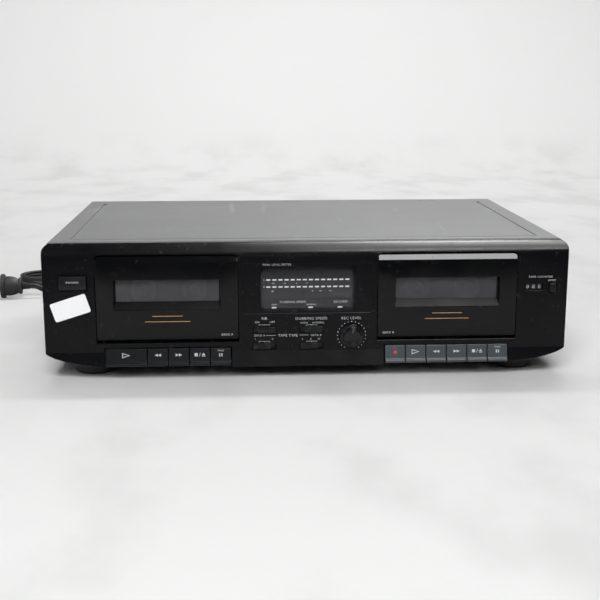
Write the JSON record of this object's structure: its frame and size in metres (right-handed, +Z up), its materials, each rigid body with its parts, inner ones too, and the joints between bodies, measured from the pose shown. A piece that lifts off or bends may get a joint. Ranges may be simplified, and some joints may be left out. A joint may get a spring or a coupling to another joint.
{
  "type": "double cassette deck",
  "caption": "Low wide double cassette deck with two hinged cassette doors, rows of piano keys, a level meter, slide switches, a level knob and a tape counter.",
  "frame": {"origin": "under the middle of the case, on the surface that it stands on", "axes": "+Z up, the front faces -Y, +X to the right seen from the front"},
  "size_m": [0.554, 0.4379, 0.113],
  "materials": {
    "panel_black": "satin moulded plastic",
    "cover_grey": "fine dark grey paint",
    "chassis_steel": "plated sheet",
    "foot_black": "matte",
    "screw_black": "black plated",
    "door_black": "smooth satin",
    "smoked_window": "clear smoked",
    "holder_steel": "dark paint",
    "key_black": "satin",
    "key_grey": "satin blue grey",
    "control_black": "satin",
    "meter_lens": "clear smoked",
    "display_black": "matte with printed scale",
    "board_green": "solder mask",
    "counter_black": "printed wheels",
    "transport_steel": "plated sheet",
    "reel_white": "acetal",
    "flywheel_brass": "turned",
    "head_steel": "polished",
    "roller_rubber": "matte",
    "motor_steel": "plated can",
    "supply_grey": "varnished core",
    "jack_black": "moulded block",
    "lead_black": "soft vinyl",
    "plug_black": "moulded vinyl"
  },
  "bodies": {
    "case": {"front_panel": "panel_black", "top_cover": "cover_grey", "base_chassis": "chassis_steel", "feet": "foot_black", "case_screws": "screw_black", "meter_window": "meter_lens", "meter_display": "display_black", "control_board": "board_green", "counter_frame": "counter_black", "main_board": "board_green", "power_supply": "supply_grey", "line_jacks": "jack_black", "transport_frame_a": "transport_steel", "transport_frame_b": "transport_steel", "drive_motor": "motor_steel", "drive_belt": "roller_rubber", "cord_grommet": "plug_black", "cord_run": "lead_black", "cord_hank": "lead_black", "cord_lead": "lead_black", "cord_tie": "lead_black", "mains_plug": "plug_black"},
    "door_a": {"door_a": "door_black", "door_window_a": "smoked_window", "cassette_holder_a": "holder_steel"},
    "key_a_play": {"key_a_play": "key_black"},
    "key_a_rewind": {"key_a_rewind": "key_black"},
    "key_a_forward": {"key_a_forward": "key_black"},
    "key_a_stop": {"key_a_stop": "key_black"},
    "key_a_pause": {"key_a_pause": "key_black"},
    "supply_reel_a": {"supply_reel_a": "reel_white"},
    "takeup_reel_a": {"takeup_reel_a": "reel_white"},
    "flywheel_a": {"flywheel_a": "flywheel_brass"},
    "head_carriage_a": {"head_carriage_a": "head_steel"},
    "pinch_roller_a": {"pinch_roller_a": "roller_rubber"},
    "door_b": {"door_b": "door_black", "door_window_b": "smoked_window", "cassette_holder_b": "holder_steel"},
    "key_b_record": {"key_b_record": "key_grey"},
    "key_b_play": {"key_b_play": "key_grey"},
    "key_b_rewind": {"key_b_rewind": "key_grey"},
    "key_b_forward": {"key_b_forward": "key_grey"},
    "key_b_stop": {"key_b_stop": "key_grey"},
    "key_b_pause": {"key_b_pause": "key_grey"},
    "supply_reel_b": {"supply_reel_b": "reel_white"},
    "takeup_reel_b": {"takeup_reel_b": "reel_white"},
    "flywheel_b": {"flywheel_b": "flywheel_brass"},
    "head_carriage_b": {"head_carriage_b": "head_steel"},
    "pinch_roller_b": {"pinch_roller_b": "roller_rubber"},
    "motor_pulley": {"motor_pulley": "flywheel_brass"},
    "power_button": {"power_button": "control_black"},
    "reset_button": {"reset_button": "control_black"},
    "noise_switch_cap": {"noise_switch_cap": "control_black"},
    "tape_type_cap_a": {"tape_type_cap_a": "control_black"},
    "dub_speed_cap": {"dub_speed_cap": "control_black"},
    "tape_type_cap_b": {"tape_type_cap_b": "control_black"},
    "level_knob": {"level_knob": "control_black"},
    "counter_wheel_hundreds": {"counter_wheel_hundreds": "counter_black"},
    "counter_wheel_tens": {"counter_wheel_tens": "counter_black"},
    "counter_wheel_units": {"counter_wheel_units": "counter_black"}
  },
  "joints": [
    {"name": "door_a_hinge", "type": "hinge", "parent": "case", "child": "door_a", "pos_m": [-0.11503, -0.145, 0.0365], "axis": [1, 0, 0], "range_deg": [0, 26]},
    {"name": "key_a_play_press", "type": "hinge", "parent": "case", "child": "key_a_play", "pos_m": [-0.11503, -0.126, 0.022], "axis": [1, 0, 0], "range_deg": [0, 9], "stiffness_Nm_per_rad": 0.3},
    {"name": "key_a_rewind_press", "type": "hinge", "parent": "case", "child": "key_a_rewind", "pos_m": [-0.11503, -0.126, 0.022], "axis": [1, 0, 0], "range_deg": [0, 9], "stiffness_Nm_per_rad": 0.3},
    {"name": "key_a_forward_press", "type": "hinge", "parent": "case", "child": "key_a_forward", "pos_m": [-0.11503, -0.126, 0.022], "axis": [1, 0, 0], "range_deg": [0, 9], "stiffness_Nm_per_rad": 0.3},
    {"name": "key_a_stop_press", "type": "hinge", "parent": "case", "child": "key_a_stop", "pos_m": [-0.11503, -0.126, 0.022], "axis": [1, 0, 0], "range_deg": [0, 9], "stiffness_Nm_per_rad": 0.3},
    {"name": "key_a_pause_press", "type": "hinge", "parent": "case", "child": "key_a_pause", "pos_m": [-0.11503, -0.126, 0.022], "axis": [1, 0, 0], "range_deg": [0, 9], "stiffness_Nm_per_rad": 0.3},
    {"name": "supply_reel_a_spin", "type": "hinge", "parent": "case", "child": "supply_reel_a", "pos_m": [-0.13628, -0.13, 0.071], "axis": [0, 1, 0], "continuous": true},
    {"name": "takeup_reel_a_spin", "type": "hinge", "parent": "case", "child": "takeup_reel_a", "pos_m": [-0.09377, -0.13, 0.071], "axis": [0, 1, 0], "continuous": true},
    {"name": "flywheel_a_spin", "type": "hinge", "parent": "case", "child": "flywheel_a", "pos_m": [-0.08403, -0.114, 0.0445], "axis": [0, 1, 0], "continuous": true},
    {"name": "head_carriage_a_rise", "type": "slide", "parent": "case", "child": "head_carriage_a", "axis": [0, 0, 1], "range_m": [0, 0.006]},
    {"name": "pinch_roller_a_spin", "type": "hinge", "parent": "head_carriage_a", "child": "pinch_roller_a", "pos_m": [-0.08403, -0.132, 0.03145], "axis": [0, 1, 0], "continuous": true},
    {"name": "door_b_hinge", "type": "hinge", "parent": "case", "child": "door_b", "pos_m": [0.11503, -0.145, 0.0365], "axis": [1, 0, 0], "range_deg": [0, 26]},
    {"name": "key_b_record_press", "type": "hinge", "parent": "case", "child": "key_b_record", "pos_m": [0.11503, -0.126, 0.022], "axis": [1, 0, 0], "range_deg": [0, 9], "stiffness_Nm_per_rad": 0.3},
    {"name": "key_b_play_press", "type": "hinge", "parent": "case", "child": "key_b_play", "pos_m": [0.11503, -0.126, 0.022], "axis": [1, 0, 0], "range_deg": [0, 9], "stiffness_Nm_per_rad": 0.3},
    {"name": "key_b_rewind_press", "type": "hinge", "parent": "case", "child": "key_b_rewind", "pos_m": [0.11503, -0.126, 0.022], "axis": [1, 0, 0], "range_deg": [0, 9], "stiffness_Nm_per_rad": 0.3},
    {"name": "key_b_forward_press", "type": "hinge", "parent": "case", "child": "key_b_forward", "pos_m": [0.11503, -0.126, 0.022], "axis": [1, 0, 0], "range_deg": [0, 9], "stiffness_Nm_per_rad": 0.3},
    {"name": "key_b_stop_press", "type": "hinge", "parent": "case", "child": "key_b_stop", "pos_m": [0.11503, -0.126, 0.022], "axis": [1, 0, 0], "range_deg": [0, 9], "stiffness_Nm_per_rad": 0.3},
    {"name": "key_b_pause_press", "type": "hinge", "parent": "case", "child": "key_b_pause", "pos_m": [0.11503, -0.126, 0.022], "axis": [1, 0, 0], "range_deg": [0, 9], "stiffness_Nm_per_rad": 0.3},
    {"name": "supply_reel_b_spin", "type": "hinge", "parent": "case", "child": "supply_reel_b", "pos_m": [0.09377, -0.13, 0.071], "axis": [0, 1, 0], "continuous": true},
    {"name": "takeup_reel_b_spin", "type": "hinge", "parent": "case", "child": "takeup_reel_b", "pos_m": [0.13628, -0.13, 0.071], "axis": [0, 1, 0], "continuous": true},
    {"name": "flywheel_b_spin", "type": "hinge", "parent": "case", "child": "flywheel_b", "pos_m": [0.14602, -0.114, 0.0445], "axis": [0, 1, 0], "continuous": true},
    {"name": "head_carriage_b_rise", "type": "slide", "parent": "case", "child": "head_carriage_b", "axis": [0, 0, 1], "range_m": [0, 0.006]},
    {"name": "pinch_roller_b_spin", "type": "hinge", "parent": "head_carriage_b", "child": "pinch_roller_b", "pos_m": [0.14602, -0.132, 0.03145], "axis": [0, 1, 0], "continuous": true},
    {"name": "motor_pulley_spin", "type": "hinge", "parent": "case", "child": "motor_pulley", "pos_m": [0.08503, -0.11, 0.088], "axis": [0, 1, 0], "continuous": true},
    {"name": "power_button_press", "type": "slide", "parent": "case", "child": "power_button", "axis": [0, 1, 0], "range_m": [0, 0.0035], "stiffness_N_per_m": 300},
    {"name": "reset_button_press", "type": "slide", "parent": "case", "child": "reset_button", "axis": [0, 1, 0], "range_m": [0, 0.0025], "stiffness_N_per_m": 200},
    {"name": "noise_switch_cap_slide", "type": "slide", "parent": "case", "child": "noise_switch_cap", "axis": [1, 0, 0], "range_m": [-0.004, 0]},
    {"name": "tape_type_cap_a_slide", "type": "slide", "parent": "case", "child": "tape_type_cap_a", "axis": [1, 0, 0], "range_m": [0, 0.004]},
    {"name": "dub_speed_cap_slide", "type": "slide", "parent": "case", "child": "dub_speed_cap", "axis": [1, 0, 0], "range_m": [-0.004, 0]},
    {"name": "tape_type_cap_b_slide", "type": "slide", "parent": "case", "child": "tape_type_cap_b", "axis": [1, 0, 0], "range_m": [0, 0.004]},
    {"name": "level_knob_turn", "type": "hinge", "parent": "case", "child": "level_knob", "pos_m": [0.03601, -0.15, 0.0355], "axis": [0, 1, 0], "range_deg": [-150, 150]},
    {"name": "counter_wheel_hundreds_spin", "type": "hinge", "parent": "case", "child": "counter_wheel_hundreds", "pos_m": [0.18741, -0.1385, 0.07445], "axis": [1, 0, 0], "continuous": true},
    {"name": "counter_wheel_tens_spin", "type": "hinge", "parent": "case", "child": "counter_wheel_tens", "pos_m": [0.18741, -0.1385, 0.07445], "axis": [1, 0, 0], "continuous": true},
    {"name": "counter_wheel_units_spin", "type": "hinge", "parent": "case", "child": "counter_wheel_units", "pos_m": [0.18741, -0.1385, 0.07445], "axis": [1, 0, 0], "continuous": true}
  ],
  "couplings": [
    {"joint": "key_a_play_press", "follows": "head_carriage_a_rise", "rad_per_m": 26.17},
    {"joint": "key_b_play_press", "follows": "head_carriage_b_rise", "rad_per_m": 26.17},
    {"joint": "flywheel_a_spin", "follows": "flywheel_b_spin", "ratio": 1},
    {"joint": "motor_pulley_spin", "follows": "flywheel_b_spin", "ratio": 6.75},
    {"joint": "counter_wheel_hundreds_spin", "follows": "takeup_reel_b_spin", "ratio": 0.005},
    {"joint": "counter_wheel_tens_spin", "follows": "takeup_reel_b_spin", "ratio": 0.05},
    {"joint": "counter_wheel_units_spin", "follows": "takeup_reel_b_spin", "ratio": 0.5}
  ]
}
